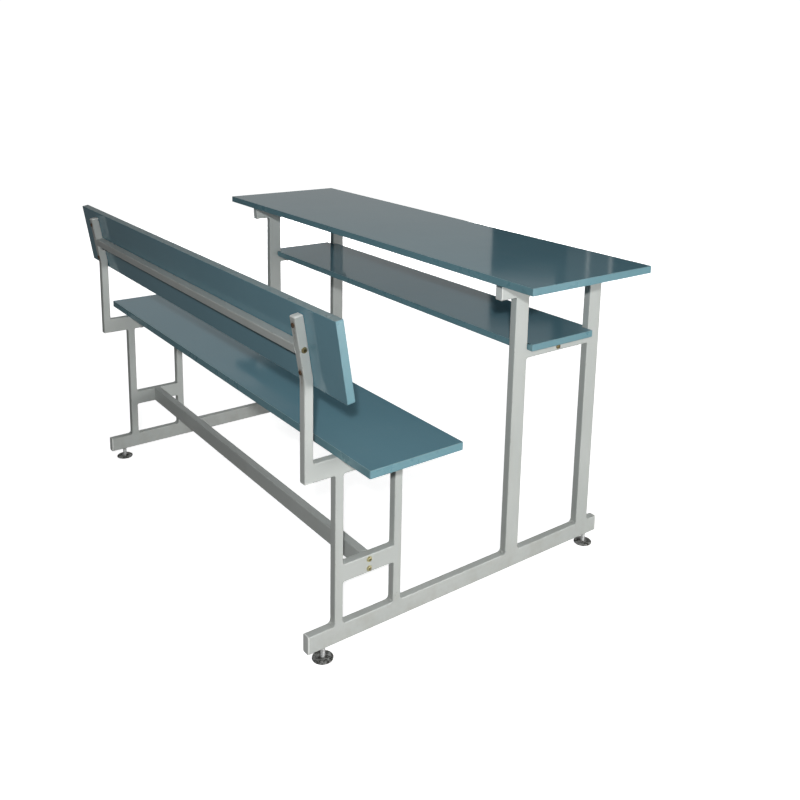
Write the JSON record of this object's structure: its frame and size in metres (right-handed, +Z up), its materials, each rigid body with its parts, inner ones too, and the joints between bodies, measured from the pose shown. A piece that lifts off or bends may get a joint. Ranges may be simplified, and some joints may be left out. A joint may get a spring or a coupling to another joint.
{
  "type": "school desk and bench set",
  "caption": "School desk and bench on one steel tube frame: desk top with a book shelf, bench seat with a tilted backrest, and screw-adjusted levelling feet.",
  "frame": {"origin": "floor level, at the middle of the unit from left to right and from front to back", "axes": "+X along the boards to the right of a seated student, +Y the way the student faces, from bench to desk, +Z up"},
  "size_m": [1.4, 0.8916, 0.7664],
  "materials": {
    "frame_paint": "light grey powder coat, satin, lightly worn",
    "teal_laminate": "wood-based board faced on both sides with glossy blue-green laminate",
    "teal_edging": "blue-green plastic edge band",
    "end_plug": "light grey moulded plastic",
    "yellow_zinc": "yellow zinc-plated steel, tarnished, some rust",
    "bright_zinc": "bright zinc-plated steel",
    "bare_steel": "plain steel plate",
    "pad_steel": "plated steel, dulled and dark",
    "stud_steel": "bright zinc-plated threaded rod"
  },
  "bodies": {
    "frame": {"right_foot_rail": "frame_paint", "left_foot_rail": "frame_paint", "right_bench_rear_leg": "frame_paint", "left_bench_rear_leg": "frame_paint", "right_bench_front_leg": "frame_paint", "left_bench_front_leg": "frame_paint", "right_bench_mid_rail": "frame_paint", "left_bench_mid_rail": "frame_paint", "right_seat_rail": "frame_paint", "left_seat_rail": "frame_paint", "right_back_upright": "frame_paint", "left_back_upright": "frame_paint", "right_desk_near_leg": "frame_paint", "left_desk_near_leg": "frame_paint", "right_desk_far_leg": "frame_paint", "left_desk_far_leg": "frame_paint", "right_shelf_rail": "frame_paint", "left_shelf_rail": "frame_paint", "right_top_rail": "frame_paint", "left_top_rail": "frame_paint", "bench_stretcher": "frame_paint", "backrest_cross_tube": "frame_paint", "shelf_beam": "frame_paint", "desk_top": "teal_laminate", "seat_board": "teal_laminate", "backrest_board": "teal_laminate", "book_shelf": "teal_laminate", "desk_top_edge_band": "teal_edging", "seat_edge_band": "teal_edging", "backrest_edge_band": "teal_edging", "shelf_edge_band": "teal_edging", "foot_rail_end_plugs": "end_plug", "top_rail_end_plugs": "end_plug", "seat_rail_end_plugs": "end_plug", "upright_top_caps": "end_plug", "upright_bottom_plugs": "end_plug", "stretcher_bolts": "yellow_zinc", "cross_tube_bolts": "yellow_zinc", "shelf_beam_bolts": "yellow_zinc", "backrest_screws": "yellow_zinc", "seat_screws": "bright_zinc", "desk_top_screws": "bright_zinc", "shelf_screws": "bright_zinc", "foot_weld_nuts": "bright_zinc", "stretcher_end_plates": "bare_steel", "cross_tube_end_plates": "bare_steel", "shelf_beam_end_plates": "bare_steel"},
    "right_rear_pad": {"right_rear_foot_pad": "pad_steel"},
    "right_rear_stud": {"right_rear_foot_stud": "stud_steel"},
    "right_front_pad": {"right_front_foot_pad": "pad_steel"},
    "right_front_stud": {"right_front_foot_stud": "stud_steel"},
    "left_rear_pad": {"left_rear_foot_pad": "pad_steel"},
    "left_rear_stud": {"left_rear_foot_stud": "stud_steel"},
    "left_front_pad": {"left_front_foot_pad": "pad_steel"},
    "left_front_stud": {"left_front_foot_stud": "stud_steel"}
  },
  "joints": [
    {"name": "right_rear_foot_height", "type": "slide", "parent": "frame", "child": "right_rear_pad", "axis": [0, 0, 1], "range_m": [0, 0.02]},
    {"name": "right_rear_foot_turn", "type": "hinge", "parent": "right_rear_pad", "child": "right_rear_stud", "pos_m": [0.575, -0.37551, 0.02], "axis": [0, 0, 1], "range_deg": [-20, 4820]},
    {"name": "right_front_foot_height", "type": "slide", "parent": "frame", "child": "right_front_pad", "axis": [0, 0, 1], "range_m": [0, 0.02]},
    {"name": "right_front_foot_turn", "type": "hinge", "parent": "right_front_pad", "child": "right_front_stud", "pos_m": [0.575, 0.41049, 0.02], "axis": [0, 0, 1], "range_deg": [-20, 4820]},
    {"name": "left_rear_foot_height", "type": "slide", "parent": "frame", "child": "left_rear_pad", "axis": [0, 0, 1], "range_m": [0, 0.02]},
    {"name": "left_rear_foot_turn", "type": "hinge", "parent": "left_rear_pad", "child": "left_rear_stud", "pos_m": [-0.575, -0.37551, 0.02], "axis": [0, 0, 1], "range_deg": [-20, 4820]},
    {"name": "left_front_foot_height", "type": "slide", "parent": "frame", "child": "left_front_pad", "axis": [0, 0, 1], "range_m": [0, 0.02]},
    {"name": "left_front_foot_turn", "type": "hinge", "parent": "left_front_pad", "child": "left_front_stud", "pos_m": [-0.575, 0.41049, 0.02], "axis": [0, 0, 1], "range_deg": [-20, 4820]}
  ],
  "couplings": [
    {"joint": "right_rear_foot_turn", "follows": "right_rear_foot_height", "rad_per_m": 4188.8},
    {"joint": "right_front_foot_turn", "follows": "right_front_foot_height", "rad_per_m": 4188.8},
    {"joint": "left_rear_foot_turn", "follows": "left_rear_foot_height", "rad_per_m": 4188.8},
    {"joint": "left_front_foot_turn", "follows": "left_front_foot_height", "rad_per_m": 4188.8}
  ]
}
